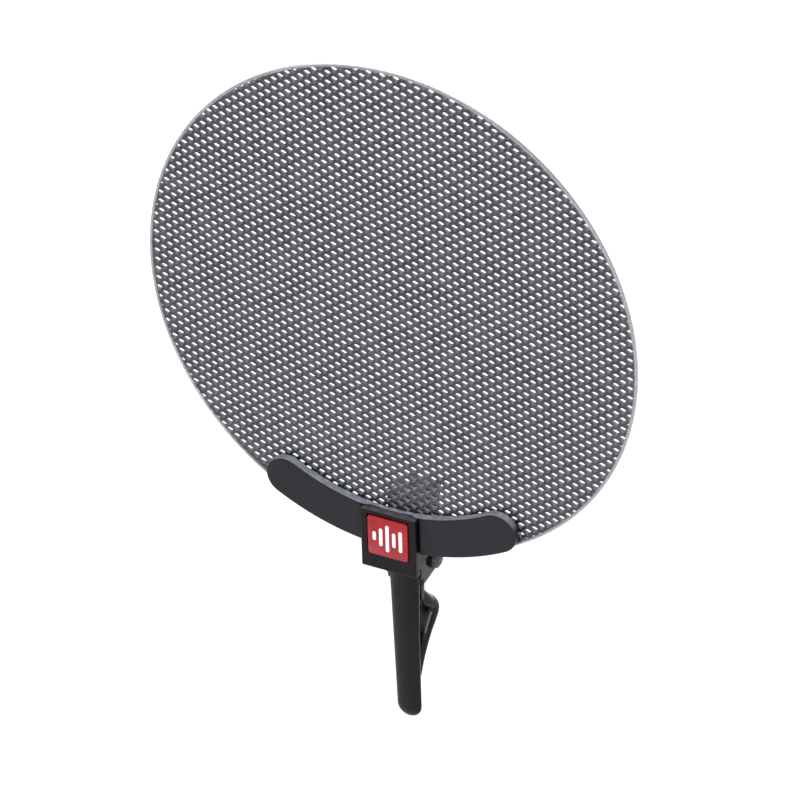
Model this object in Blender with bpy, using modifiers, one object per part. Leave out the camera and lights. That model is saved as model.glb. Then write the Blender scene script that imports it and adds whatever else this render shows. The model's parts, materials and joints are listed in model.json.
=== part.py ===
"""A clip-on metal pop filter for a studio microphone.

A round screen of expanded metal is clamped between two curved bars. A block with a small badge hooks
over the middle of the bars and is screwed to a sprung clip, whose two rubber-lined jaws grip the
round tube of a microphone cradle.

Metres, +Z up. The origin is the centre of the tube that the jaws grip, and the tube runs along X.
The screen stands upright in front of it, towards -Y. The clip's hinge pin lies along X below the jaws.
"""

import math

import bmesh
import bpy
from mathutils import Matrix, Vector

# Screen and the general layout
SCREEN_R = 0.065
SCREEN_T = 0.0009
SCREEN_Y = -0.010
SCREEN_Z = 0.058
GAP = 0.0003
OVERCUT = 0.001
FAR = 0.02

# Clamp bars: two bands that follow the screen's lower edge, the rear one narrower
BAR_R_IN = 0.0545
BAR_REAR_R_IN = 0.0583
BAR_R_OUT = 0.0651
BAR_HALF_ANGLE = math.radians(28.6)
BAR_FRONT_T = 0.0020
BAR_REAR_T = 0.0020
BAR_EDGE = 0.0004
BLIND_WALL = 0.0007
BAR_SCREW_ANGLES = [math.radians(a) for a in (-27.0, -12.0, 12.0, 27.0)]
SMALL_EDGE = 0.0003

# Badge block on the middle of the bars
BLOCK_W = 0.0150
BLOCK_TOP = 0.0035
BLOCK_BOTTOM = -0.0130
BLOCK_FACE_Y = SCREEN_Y - 0.0040
BLOCK_FACE_T = 0.0018
BOSS_W = 0.0130
BADGE_W = 0.0108
BADGE_Z = -0.0033
BADGE_T = 0.0008
BADGE_SUNK = 0.0004

# Grooves for a round tube 5.5 to 6 mm thick, and the hinge below it
GROOVE_R = 0.0030
GROOVE_DEPTH = 0.0009
PIVOT_Z = -0.0160
PIN_R = 0.00125
PIN_PLAY = 0.0001
PIN_HEAD_R = 0.0022
PIN_HEAD_H = 0.0010
PIN_IN_CAP = 0.0008
CAP_R = 0.0024
CAP_H = 0.0016

# Jaws and their pads
PAD_W = 0.0070
PAD_FOOT = -0.0046
REAR_PAD_T = 0.0018
JAW_T = 0.0021
JAW_W = 0.0078
NECK_W = 0.0120
FRONT_JAW_TOP = 0.0060
REAR_JAW_TOP = 0.0030
REAR_JAW_FOOT = PAD_FOOT - 0.0025
PAD_STEP = 0.0005
EAR_IN = 0.0036
EAR_OUT = 0.0049
EAR_R = 0.0036
KNUCKLE_OUT = EAR_IN - GAP
KNUCKLE_R = 0.0034

# Levers: half width and half thickness of each at its widest, and its middle line as Y, Z and the
# section's scale. The rear lever's line is the one at rest, with the jaws held open.
LEVER_SIDES = 14
FRONT_LEVER_HALF = (0.0042, 0.0016)
FRONT_LEVER_TOP = 1.10
FRONT_LEVER_LINE = [(-0.0062, -0.0190, 0.97), (-0.0060, -0.0380, 0.86), (-0.0055, -0.0574, 0.80)]
REAR_LEVER_HALF = (0.0035, 0.0023)
REAR_LEVER_LINE = [(-0.0004, -0.0265, 0.55), (0.0022, -0.0305, 0.84), (0.0044, -0.0338, 1.00),
                   (0.0012, -0.0395, 0.82), (-0.0008, -0.0453, 0.60), (-0.0018, -0.0500, 0.46)]
STEM_HALF_W = 0.0020
STEM_FRONT_Y = -0.0016
STEM_BACK_Y = 0.0004

# Torsion spring on the pin
WIRE_R = 0.0004
COIL_R = 0.00235
COIL_HALF_LENGTH = 0.0013
COIL_TURNS = 3
STEPS_PER_TURN = 14
SPRING_ROOM = 0.0021
LEG_LENGTH = 0.0110
FRONT_LEG_Y = -0.0036
REAR_LEG_Y = STEM_FRONT_Y - GAP - WIRE_R

# Screws: shank radius, head radius, head height
SCREW_SHANK_R = 0.0008
SCREW_HEAD_R = 0.0017
SCREW_HEAD_H = 0.0010
SCREW_HOLE_R = SCREW_SHANK_R + GAP
NECK_SCREW_X = 0.0036
NECK_SCREW_Z = -0.0103
INSERT_R = 0.0015
INSERT_L = 0.0022

# Planes that follow from the sizes above
BAR_FRONT_BACK_Y = SCREEN_Y - SCREEN_T / 2 - GAP
BAR_FRONT_Y = BAR_FRONT_BACK_Y - BAR_FRONT_T
BAR_REAR_FRONT_Y = SCREEN_Y + SCREEN_T / 2 + GAP
BAR_REAR_Y = BAR_REAR_FRONT_Y + BAR_REAR_T
JAW_FRONT_Y = BAR_REAR_Y + GAP
JAW_BACK_Y = JAW_FRONT_Y + JAW_T
PAD_FACE_Y = -GROOVE_R + GROOVE_DEPTH
REAR_FACE_Y = PAD_FACE_Y + GAP
REAR_JAW_Y = REAR_FACE_Y + REAR_PAD_T + GAP
BAR_SCREW_R = (BAR_REAR_R_IN + BAR_R_OUT) / 2
SEAT_HEIGHT = -PIVOT_Z

# Closed, the pads' faces meet with GAP between them. The tube opens the jaws by REST_OPEN.
CLOSED_GROOVE_Y = REAR_FACE_Y + PAD_FACE_Y
REST_OPEN = math.asin(-CLOSED_GROOVE_Y / SEAT_HEIGHT)
CLOSED_GROOVE_Z = SEAT_HEIGHT * math.cos(REST_OPEN)


# ---------------------------------------------------------------- scene and materials

def clear_scene():
    for obj in list(bpy.data.objects):
        bpy.data.objects.remove(obj, do_unlink=True)


def new_collection(name):
    collection = bpy.data.collections.new(name)
    bpy.context.scene.collection.children.link(collection)
    return collection


def new_material(name, colour, roughness, metallic):
    material = bpy.data.materials.new(name)
    material.use_nodes = True
    shader = material.node_tree.nodes["Principled BSDF"]
    shader.inputs["Base Color"].default_value = (*colour, 1.0)
    shader.inputs["Roughness"].default_value = roughness
    shader.inputs["Metallic"].default_value = metallic
    return material


clear_scene()
PARTS = new_collection("pop_filter")
CUTTERS = new_collection("cutters")

SCREEN_METAL = new_material("screen_metal", (0.045, 0.046, 0.052), 0.45, 0.9)
BAR_PLASTIC = new_material("bar_plastic", (0.026, 0.024, 0.029), 0.50, 0.0)
BLOCK_PLASTIC = new_material("block_plastic", (0.016, 0.010, 0.012), 0.40, 0.0)
BADGE_RED = new_material("badge_red", (0.50, 0.012, 0.020), 0.30, 0.0)
CLIP_PLASTIC = new_material("clip_plastic", (0.014, 0.011, 0.011), 0.28, 0.0)
PAD_RUBBER = new_material("pad_rubber", (0.012, 0.012, 0.012), 0.80, 0.0)
STEEL = new_material("steel", (0.42, 0.42, 0.44), 0.30, 1.0)
BLACK_STEEL = new_material("black_steel", (0.05, 0.05, 0.055), 0.40, 0.9)
BRASS = new_material("brass", (0.62, 0.42, 0.16), 0.35, 1.0)


# ---------------------------------------------------------------- modelling helpers

def move_to(obj, collection):
    for owner in list(obj.users_collection):
        owner.objects.unlink(obj)
    collection.objects.link(obj)


def bake_transform(obj):
    """Puts the object's place, turn and scale into its mesh, and its origin at the world's."""
    bpy.context.view_layer.update()
    obj.data.transform(obj.matrix_world)
    obj.location = (0.0, 0.0, 0.0)
    obj.rotation_euler = (0.0, 0.0, 0.0)
    obj.scale = (1.0, 1.0, 1.0)


def shade(obj, angle=35.0):
    obj.data.shade_smooth()
    obj.data.set_sharp_from_angle(angle=math.radians(angle))


def block(name, low, high, collection=None):
    """A box between two corners."""
    bpy.ops.mesh.primitive_cube_add(size=1.0)
    obj = bpy.context.active_object
    obj.name = name
    obj.location = (Vector(low) + Vector(high)) / 2
    obj.scale = Vector(high) - Vector(low)
    bake_transform(obj)
    move_to(obj, collection or PARTS)
    return obj


def rod(name, radius, start, end, sides=32, collection=None):
    """A cylinder from one point to another."""
    axis = Vector(end) - Vector(start)
    bpy.ops.mesh.primitive_cylinder_add(radius=radius, depth=axis.length, vertices=sides)
    obj = bpy.context.active_object
    obj.name = name
    obj.location = (Vector(start) + Vector(end)) / 2
    obj.rotation_euler = axis.to_track_quat("Z", "Y").to_euler()
    bake_transform(obj)
    move_to(obj, collection or PARTS)
    return obj


def curve_to_mesh(obj, collection):
    """The curve as a welded mesh object of the same name and place."""
    bpy.context.view_layer.update()
    evaluated = obj.evaluated_get(bpy.context.evaluated_depsgraph_get())
    mesh = bpy.data.meshes.new_from_object(evaluated)
    solid = bmesh.new()
    solid.from_mesh(mesh)
    bmesh.ops.remove_doubles(solid, verts=solid.verts, dist=0.000001)
    bmesh.ops.recalc_face_normals(solid, faces=solid.faces)
    solid.to_mesh(mesh)
    solid.free()
    name = obj.name
    place = obj.matrix_world.copy()
    bpy.data.objects.remove(obj, do_unlink=True)
    made = bpy.data.objects.new(name, mesh)
    collection.objects.link(made)
    made.matrix_world = place
    bake_transform(made)
    return made


def merge_flat_faces(obj):
    """One face for each flat side, so that a bevel has room beside every edge."""
    solid = bmesh.new()
    solid.from_mesh(obj.data)
    bmesh.ops.dissolve_limit(solid, angle_limit=0.001, verts=solid.verts, edges=solid.edges)
    solid.to_mesh(obj.data)
    solid.free()
    return obj


def slab(name, outline, low, high, facing, collection=None):
    """A flat outline given a thickness: facing "Y" reads its points as X, Z, and "X" as Y, Z."""
    curve = bpy.data.curves.new(name, "CURVE")
    curve.dimensions = "2D"
    curve.fill_mode = "BOTH"
    curve.extrude = (high - low) / 2
    spline = curve.splines.new("POLY")
    spline.points.add(len(outline) - 1)
    for point, (u, v) in zip(spline.points, outline):
        point.co = (u, v, 0.0, 1.0)
    spline.use_cyclic_u = True
    obj = bpy.data.objects.new(name, curve)
    bpy.context.scene.collection.objects.link(obj)
    middle = (low + high) / 2
    if facing == "Y":
        obj.rotation_euler = (math.pi / 2, 0.0, 0.0)
        obj.location = (0.0, middle, 0.0)
    else:
        obj.rotation_euler = (math.pi / 2, 0.0, math.pi / 2)
        obj.location = (middle, 0.0, 0.0)
    return merge_flat_faces(curve_to_mesh(obj, collection or PARTS))


def oval_bar(name, path, half_w, half_t):
    """A bar of oval section, wide along X, along a path of Y, Z and section scale."""
    section = bpy.data.curves.new(name + "_section", "CURVE")
    section.dimensions = "2D"
    ring = section.splines.new("POLY")
    ring.points.add(2 * LEVER_SIDES - 1)
    for i, point in enumerate(ring.points):
        turn = math.pi * i / LEVER_SIDES
        point.co = (half_w * math.cos(turn), -half_t * math.sin(turn), 0.0, 1.0)
    ring.use_cyclic_u = True
    section_obj = bpy.data.objects.new(name + "_section", section)
    bpy.context.scene.collection.objects.link(section_obj)

    curve = bpy.data.curves.new(name, "CURVE")
    curve.dimensions = "3D"
    curve.twist_mode = "MINIMUM"
    curve.bevel_mode = "OBJECT"
    curve.bevel_object = section_obj
    curve.use_fill_caps = True
    spline = curve.splines.new("POLY")
    spline.points.add(len(path) - 1)
    for point, (y, z, scale) in zip(spline.points, path):
        point.co = (0.0, y, z, 1.0)
        point.radius = scale
    obj = bpy.data.objects.new(name, curve)
    bpy.context.scene.collection.objects.link(obj)
    made = curve_to_mesh(obj, PARTS)
    bpy.data.objects.remove(section_obj, do_unlink=True)
    return made


def smooth_path(points, steps):
    """Points on a Catmull-Rom curve through the given ones, however many values each holds."""
    padded = [points[0], *points, points[-1]]
    made = []
    for a, b, c, d in zip(padded, padded[1:], padded[2:], padded[3:]):
        for step in range(steps):
            t = step / steps
            made.append(tuple(
                0.5 * (2 * q + (r - p) * t + (2 * p - 5 * q + 4 * r - s) * t * t
                       + (3 * q - p - 3 * r + s) * t ** 3)
                for p, q, r, s in zip(a, b, c, d)))
    made.append(tuple(points[-1]))
    return made


def turned(name, profile, steps):
    """A solid of revolution about Z from a profile of radius and height, top to bottom."""
    shape = bmesh.new()
    made = [shape.verts.new((radius, 0.0, height)) for radius, height in profile]
    for a, b in zip(made, made[1:]):
        shape.edges.new((a, b))
    mesh = bpy.data.meshes.new(name)
    shape.to_mesh(mesh)
    shape.free()
    obj = bpy.data.objects.new(name, mesh)
    PARTS.objects.link(obj)
    screw = obj.modifiers.new("turn", "SCREW")
    screw.steps = steps
    screw.render_steps = steps
    screw.use_merge_vertices = True
    screw.merge_threshold = 0.000001
    apply_modifiers(obj)
    return obj


def hide_cutter(cutter):
    cutter.hide_render = True
    cutter.display_type = "WIRE"
    move_to(cutter, CUTTERS)


def apply_modifiers(obj):
    """Gives the object the mesh that its modifiers make, so that the next tool works on the result."""
    bpy.context.view_layer.update()
    evaluated = obj.evaluated_get(bpy.context.evaluated_depsgraph_get())
    mesh = bpy.data.meshes.new_from_object(evaluated)
    obj.modifiers.clear()
    obj.data = mesh


def boolean(obj, other, operation, solver="EXACT"):
    modifier = obj.modifiers.new(operation.lower(), "BOOLEAN")
    modifier.operation = operation
    modifier.solver = solver
    modifier.object = other
    apply_modifiers(obj)


def cut(obj, *cutters):
    for cutter in cutters:
        hide_cutter(cutter)
        boolean(obj, cutter, "DIFFERENCE")


def join(obj, other, solver="EXACT"):
    """Makes one body of two. The clip's ears, stem and levers need MANIFOLD: EXACT leaves them open."""
    boolean(obj, other, "UNION", solver)
    bpy.data.objects.remove(other, do_unlink=True)


def round_edges(obj, width, segments=2, angle=40.0):
    bevel = obj.modifiers.new("round_edges", "BEVEL")
    bevel.width = width
    bevel.segments = segments
    bevel.limit_method = "ANGLE"
    bevel.angle_limit = math.radians(angle)
    apply_modifiers(obj)


def finish(obj, name, material, parent):
    obj.name = name
    obj.data.name = name
    obj.data.materials.clear()
    obj.data.materials.append(material)
    shade(obj)
    obj.parent = parent
    obj.matrix_parent_inverse = parent.matrix_world.inverted()
    return obj


def arc(radius, start, end, steps, centre=(0.0, 0.0)):
    """Points of an arc; angles run from straight down, and positive ones go to +X."""
    made = []
    for i in range(steps + 1):
        angle = start + (end - start) * i / steps
        made.append((centre[0] + radius * math.sin(angle), centre[1] - radius * math.cos(angle)))
    return made


def on_screen(radius, angle):
    """X and Z of a point of the screen, by its radius and its angle from straight down."""
    return radius * math.sin(angle), SCREEN_Z - radius * math.cos(angle)


# ---------------------------------------------------------------- screen and clamp bars

def bar_outline(inner_r):
    """A band round the screen's lower edge, between two arcs and with round ends."""
    half = (BAR_R_OUT - inner_r) / 2
    a = BAR_HALF_ANGLE
    middle_r = BAR_R_OUT - half
    centre = (0.0, SCREEN_Z)
    outer = arc(BAR_R_OUT, -a, a, 40, centre)
    right = arc(half, a, a + math.pi, 20, on_screen(middle_r, a))
    inner = arc(inner_r, a, -a, 40, centre)
    left = arc(half, -a + math.pi, -a + 2 * math.pi, 20, on_screen(middle_r, -a))
    return outer + right[1:-1] + inner + left[1:-1]


def screw_hole_cutters(y_low, y_high):
    for angle in BAR_SCREW_ANGLES:
        x, z = on_screen(BAR_SCREW_R, angle)
        yield rod("bar_screw_hole", SCREW_HOLE_R, (x, y_low, z), (x, y_high, z), 16)


def make_screen(parent):
    half = SCREEN_T / 2
    screen = rod("screen", SCREEN_R, (0, SCREEN_Y - half, SCREEN_Z), (0, SCREEN_Y + half, SCREEN_Z), 160)
    cut(screen, *screw_hole_cutters(SCREEN_Y - SCREEN_T, SCREEN_Y + SCREEN_T))
    return finish(screen, "mesh_screen", SCREEN_METAL, parent)


def make_front_bar(parent):
    """The front bar: blind screw holes from behind, and a pocket in front that the block sits in."""
    bar = slab("bar", bar_outline(BAR_R_IN), BAR_FRONT_Y, BAR_FRONT_BACK_Y, "Y")
    round_edges(bar, BAR_EDGE, 3)
    cut(bar, *screw_hole_cutters(BAR_FRONT_Y + BLIND_WALL, BAR_FRONT_BACK_Y + OVERCUT))
    pocket_floor = BLOCK_FACE_Y + BLOCK_FACE_T + GAP
    half = BLOCK_W / 2 + GAP
    cut(bar, block("pocket", (-half, BAR_FRONT_Y - OVERCUT, BLOCK_BOTTOM),
                   (half, pocket_floor, BLOCK_TOP + GAP)))
    return finish(bar, "front_clamp_bar", BAR_PLASTIC, parent)


def make_rear_bar(parent):
    bar = slab("bar", bar_outline(BAR_REAR_R_IN), BAR_REAR_FRONT_Y, BAR_REAR_Y, "Y")
    round_edges(bar, BAR_EDGE, 3)
    cut(bar, *screw_hole_cutters(BAR_REAR_FRONT_Y - OVERCUT, BAR_REAR_Y + OVERCUT))
    return finish(bar, "rear_clamp_bar", BAR_PLASTIC, parent)


# ---------------------------------------------------------------- fasteners

def make_screw(name, x, z, head_y, tip_y, parent):
    """A pan-head screw turned round its axis, with its head towards +Y and a crossed recess."""
    length = head_y - tip_y
    profile = [
        (0.0, SCREW_HEAD_H),
        (SCREW_HEAD_R * 0.62, SCREW_HEAD_H),
        (SCREW_HEAD_R * 0.93, SCREW_HEAD_H * 0.62),
        (SCREW_HEAD_R, 0.0),
        (SCREW_SHANK_R, 0.0),
        (SCREW_SHANK_R, -length + SCREW_SHANK_R * 0.5),
        (SCREW_SHANK_R * 0.5, -length),
        (0.0, -length),
    ]
    screw = turned(name, profile, 20)
    screw.rotation_euler = (-math.pi / 2, 0.0, 0.0)
    screw.location = (x, head_y, z)
    bake_transform(screw)
    top = head_y + SCREW_HEAD_H
    arm = SCREW_HEAD_R * 0.55
    slot = SCREW_HEAD_R * 0.14
    depth = SCREW_HEAD_H * 0.5
    cut(screw, block("recess", (x - arm, top - depth, z - slot), (x + arm, top + depth, z + slot)))
    cut(screw, block("recess", (x - slot, top - depth, z - arm), (x + slot, top + depth, z + arm)))
    return finish(screw, name, STEEL, parent)


def make_bar_screws(parent):
    head_y = BAR_REAR_Y + GAP
    tip_y = BAR_FRONT_Y + BLIND_WALL + GAP
    for i, angle in enumerate(BAR_SCREW_ANGLES, start=1):
        x, z = on_screen(BAR_SCREW_R, angle)
        make_screw(f"bar_screw_{i}", x, z, head_y, tip_y, parent)


def make_neck_fasteners(parent):
    """Two screws from behind through the clip's neck, each into a brass insert in the block."""
    insert_back = BAR_REAR_Y - GAP
    for side, x in (("left", -NECK_SCREW_X), ("right", NECK_SCREW_X)):
        make_screw(f"neck_screw_{side}", x, NECK_SCREW_Z, JAW_BACK_Y + GAP, insert_back - INSERT_L, parent)
        insert = rod("insert", INSERT_R, (x, insert_back - INSERT_L, NECK_SCREW_Z),
                     (x, insert_back, NECK_SCREW_Z), 20)
        cut(insert, rod("insert_hole", SCREW_HOLE_R, (x, -FAR, NECK_SCREW_Z), (x, FAR, NECK_SCREW_Z), 16))
        finish(insert, f"neck_insert_{side}", BRASS, parent)


# ---------------------------------------------------------------- badge block

def make_badge_block(parent):
    """A square plate over the bars' middle, with a boss that reaches back under them to the neck."""
    half = BLOCK_W / 2
    body = block("body", (-half, BLOCK_FACE_Y, BLOCK_BOTTOM), (half, BLOCK_FACE_Y + BLOCK_FACE_T, BLOCK_TOP))
    boss_top = SCREEN_Z - BAR_R_OUT - GAP
    boss_half = BOSS_W / 2
    boss_front = BLOCK_FACE_Y + BLOCK_FACE_T / 2
    join(body, block("boss", (-boss_half, boss_front, BLOCK_BOTTOM), (boss_half, BAR_REAR_Y, boss_top)))
    round_edges(body, SMALL_EDGE, 2)
    for x in (-NECK_SCREW_X, NECK_SCREW_X):
        hole_front = BAR_REAR_Y - INSERT_L - 3 * GAP
        cut(body, rod("insert_seat", INSERT_R + GAP, (x, hole_front, NECK_SCREW_Z),
                      (x, BAR_REAR_Y + OVERCUT, NECK_SCREW_Z), 20))
    recess = BADGE_W / 2 + GAP
    floor = BLOCK_FACE_Y + BADGE_SUNK + GAP
    cut(body, block("badge_recess", (-recess, BLOCK_FACE_Y - OVERCUT, BADGE_Z - recess),
                    (recess, floor, BADGE_Z + recess)))
    return finish(body, "badge_block", BLOCK_PLASTIC, parent)


def make_badge_plate(parent):
    half = BADGE_W / 2
    back = BLOCK_FACE_Y + BADGE_SUNK
    plate = block("plate", (-half, back - BADGE_T, BADGE_Z - half), (half, back, BADGE_Z + half))
    round_edges(plate, SMALL_EDGE / 2, 2)
    return finish(plate, "badge_plate", BADGE_RED, parent)


# ---------------------------------------------------------------- clip, front half

def ear_outline(steps=20):
    """Round the pivot, and widening a little to a flat root inside the neck plate: points as Y, Z."""
    root = JAW_FRONT_Y + JAW_T / 2
    nose = arc(EAR_R, 0.0, math.pi, steps, (0.0, PIVOT_Z))
    return nose + [(root, PIVOT_Z + EAR_R * 1.15), (root, PIVOT_Z - EAR_R * 1.3)]


def round_tip(path, half_w, steps):
    """Ends a path of Y, Z and scale in a round tip, about as long as the section there is half wide."""
    y, z, scale = path[-1]
    y_before, z_before, _ = path[-2]
    way = Vector((y - y_before, z - z_before)).normalized()
    length = scale * half_w
    tip = []
    for i in range(1, steps + 1):
        turn = math.radians(86.0) * i / steps
        along = way * length * math.sin(turn)
        tip.append((y + along.x, z + along.y, scale * math.cos(turn)))
    return path + tip


def front_lever_path():
    start = (JAW_FRONT_Y + JAW_T / 2 - GAP, BLOCK_BOTTOM - 2 * GAP, FRONT_LEVER_TOP)
    return round_tip(smooth_path([start, *FRONT_LEVER_LINE], 6), FRONT_LEVER_HALF[0], 6)


def make_clip_front(parent):
    """The front jaw on a wider neck plate, two ears that carry the pin, and the front lever."""
    half = NECK_W / 2
    right_side = [(FRONT_LEVER_HALF[0] * 0.9, PIVOT_Z - EAR_R), (EAR_OUT, PIVOT_Z - EAR_R * 0.6),
                  (EAR_OUT, BLOCK_BOTTOM), (half, NECK_SCREW_Z - SCREW_HEAD_R),
                  (half, NECK_SCREW_Z + SCREW_HEAD_R), (JAW_W / 2, PAD_FOOT - PAD_STEP),
                  (JAW_W / 2, FRONT_JAW_TOP)]
    left_side = [(-x, z) for x, z in reversed(right_side)]
    body = slab("body", right_side + left_side, JAW_FRONT_Y, JAW_BACK_Y, "Y")
    round_edges(body, SMALL_EDGE, 2)
    for low, high in ((-EAR_OUT, -EAR_IN), (EAR_IN, EAR_OUT)):
        join(body, slab("ear", ear_outline(), low, high, "X"), "MANIFOLD")
    join(body, oval_bar("lever", front_lever_path(), *FRONT_LEVER_HALF), "MANIFOLD")
    cut(body, rod("pin_hole", PIN_R + PIN_PLAY, (-FAR, 0, PIVOT_Z), (FAR, 0, PIVOT_Z), 32))
    for x in (-NECK_SCREW_X, NECK_SCREW_X):
        cut(body, rod("neck_hole", SCREW_HOLE_R, (x, JAW_FRONT_Y - OVERCUT, NECK_SCREW_Z),
                      (x, JAW_BACK_Y + OVERCUT, NECK_SCREW_Z), 16))
    return finish(body, "clip_front_half", CLIP_PLASTIC, parent)


# ---------------------------------------------------------------- clip, rear half (modelled closed)

def tilt(y, z, angle):
    """A point turned about the pivot, positive towards an open jaw."""
    dy, dz = y, z - PIVOT_Z
    c, s = math.cos(angle), math.sin(angle)
    return dy * c + dz * s, PIVOT_Z - dy * s + dz * c


def rear_lever_path():
    """The finger rest: it juts out behind the stem and comes back to the front lever at its tip."""
    at_rest = smooth_path(REAR_LEVER_LINE, 5)
    turned_back = []
    for y, z, scale in round_tip(at_rest, REAR_LEVER_HALF[0], 5):
        turned_back.append((*tilt(y, z, -REST_OPEN), scale))
    return turned_back


def stem_outline():
    """The rear lever's flat stem, from the knuckles' full width down to the finger rest: X, Z."""
    top = PIVOT_Z
    shoulder = PIVOT_Z - 0.0055
    foot = PIVOT_Z - 0.0125
    return [(-KNUCKLE_OUT, top), (-KNUCKLE_OUT, shoulder), (-STEM_HALF_W, shoulder - 0.0025),
            (-STEM_HALF_W, foot), (STEM_HALF_W, foot), (STEM_HALF_W, shoulder - 0.0025),
            (KNUCKLE_OUT, shoulder), (KNUCKLE_OUT, top)]


def make_clip_rear(parent):
    """Rear jaw, an arm down to two knuckles on the pin, and the rear lever."""
    jaw_back = REAR_JAW_Y + JAW_T
    arm = arc(KNUCKLE_R, 0.0, math.radians(112.0), 14, (0.0, PIVOT_Z))
    arm += [(jaw_back, REAR_JAW_FOOT), (REAR_JAW_Y, REAR_JAW_FOOT + OVERCUT)]
    arm += arc(KNUCKLE_R, math.radians(212.0), math.radians(360.0), 18, (0.0, PIVOT_Z))[:-1]
    body = slab("arm", arm, -KNUCKLE_OUT, KNUCKLE_OUT, "X")
    half = JAW_W / 2
    plate = block("plate", (-half, REAR_JAW_Y, REAR_JAW_FOOT), (half, jaw_back, REAR_JAW_TOP))
    round_edges(plate, SMALL_EDGE, 2)
    join(body, plate)
    stem = slab("stem", stem_outline(), STEM_FRONT_Y, STEM_BACK_Y, "Y")
    round_edges(stem, SMALL_EDGE, 2)
    about_pivot = Matrix.Translation((0.0, 0.0, PIVOT_Z))
    stem.data.transform(about_pivot @ Matrix.Rotation(REST_OPEN, 4, "X") @ about_pivot.inverted())
    join(body, stem, "MANIFOLD")
    join(body, oval_bar("lever", rear_lever_path(), *REAR_LEVER_HALF), "MANIFOLD")
    cut(body, rod("spring_room", COIL_R + WIRE_R + GAP, (-SPRING_ROOM, 0, PIVOT_Z),
                  (SPRING_ROOM, 0, PIVOT_Z), 32))
    reach = KNUCKLE_R + OVERCUT
    half_mouth = SPRING_ROOM - GAP / 10
    cut(body, block("spring_mouth", (-half_mouth, -reach, PIVOT_Z - reach),
                    (half_mouth, 0.0, PIVOT_Z + reach)))
    cut(body, rod("pin_hole", PIN_R + PIN_PLAY, (-FAR, 0, PIVOT_Z), (FAR, 0, PIVOT_Z), 32))
    return finish(body, "clip_rear_half", CLIP_PLASTIC, parent)


# ---------------------------------------------------------------- pads, pin and spring

def make_pad(name, face_y, back, groove_y, groove_z, top, parent):
    """A rubber pad from its back to its face, with a round groove for the tube."""
    half = PAD_W / 2
    pad = block("pad", (-half, min(face_y, back), PAD_FOOT), (half, max(face_y, back), top - PAD_STEP))
    round_edges(pad, SMALL_EDGE, 2)
    cut(pad, rod("groove", GROOVE_R, (-FAR, groove_y, groove_z), (FAR, groove_y, groove_z), 40))
    return finish(pad, name, PAD_RUBBER, parent)


def make_pin(parent):
    """The hinge pin, with its domed head on the left."""
    head_x = -EAR_OUT - GAP
    length = 2 * (EAR_OUT + GAP) + PIN_IN_CAP
    profile = [
        (0.0, PIN_HEAD_H),
        (PIN_HEAD_R * 0.55, PIN_HEAD_H * 0.9),
        (PIN_HEAD_R * 0.95, PIN_HEAD_H * 0.4),
        (PIN_HEAD_R, 0.0),
        (PIN_R, 0.0),
        (PIN_R, PIN_R * 0.16 - length),
        (PIN_R * 0.84, -length),
        (0.0, -length),
    ]
    pin = turned("pin", profile, 32)
    pin.rotation_euler = (0.0, -math.pi / 2, 0.0)
    pin.location = (head_x, 0.0, PIVOT_Z)
    bake_transform(pin)
    return finish(pin, "pivot_pin", BLACK_STEEL, parent)


def make_pin_cap(parent):
    """The push-on cap on the pin's right end, hollow towards the ear."""
    bore_r = PIN_R + GAP
    bore_h = PIN_IN_CAP + GAP
    profile = [
        (0.0, CAP_H),
        (CAP_R * 0.6, CAP_H * 0.92),
        (CAP_R * 0.92, CAP_H * 0.6),
        (CAP_R, 0.0),
        (bore_r, 0.0),
        (bore_r, bore_h),
        (0.0, bore_h),
    ]
    cap = turned("cap", profile, 28)
    cap.rotation_euler = (0.0, math.pi / 2, 0.0)
    cap.location = (EAR_OUT + GAP, 0.0, PIVOT_Z)
    bake_transform(cap)
    return finish(cap, "pin_cap", BLACK_STEEL, parent)


def spring_points():
    """The wire's middle line: a leg down the front lever, the coil, and a leg down the rear stem."""
    points = [(-COIL_HALF_LENGTH, FRONT_LEG_Y, PIVOT_Z - LEG_LENGTH),
              (-COIL_HALF_LENGTH, (FRONT_LEG_Y - COIL_R) / 2, PIVOT_Z - LEG_LENGTH / 2)]
    count = COIL_TURNS * STEPS_PER_TURN
    for i in range(count + 1):
        turn = math.pi + 2 * math.pi * i / STEPS_PER_TURN
        x = -COIL_HALF_LENGTH + 2 * COIL_HALF_LENGTH * i / count
        points.append((x, COIL_R * math.cos(turn), PIVOT_Z - COIL_R * math.sin(turn)))
    points.append((COIL_HALF_LENGTH, (REAR_LEG_Y - COIL_R) / 2, PIVOT_Z - LEG_LENGTH / 2))
    points.append((COIL_HALF_LENGTH, REAR_LEG_Y, PIVOT_Z - LEG_LENGTH))
    return points


def make_spring(parent):
    curve = bpy.data.curves.new("spring", "CURVE")
    curve.dimensions = "3D"
    curve.bevel_depth = WIRE_R
    curve.bevel_resolution = 2
    curve.use_fill_caps = True
    points = spring_points()
    spline = curve.splines.new("POLY")
    spline.points.add(len(points) - 1)
    for point, place in zip(spline.points, points):
        point.co = (*place, 1.0)
    obj = bpy.data.objects.new("spring", curve)
    bpy.context.scene.collection.objects.link(obj)
    return finish(curve_to_mesh(obj, PARTS), "torsion_spring", STEEL, parent)


# ---------------------------------------------------------------- assembly

def new_empty(name, location):
    empty = bpy.data.objects.new(name, None)
    empty.location = location
    bpy.context.scene.collection.objects.link(empty)
    bpy.context.view_layer.update()
    return empty


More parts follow.
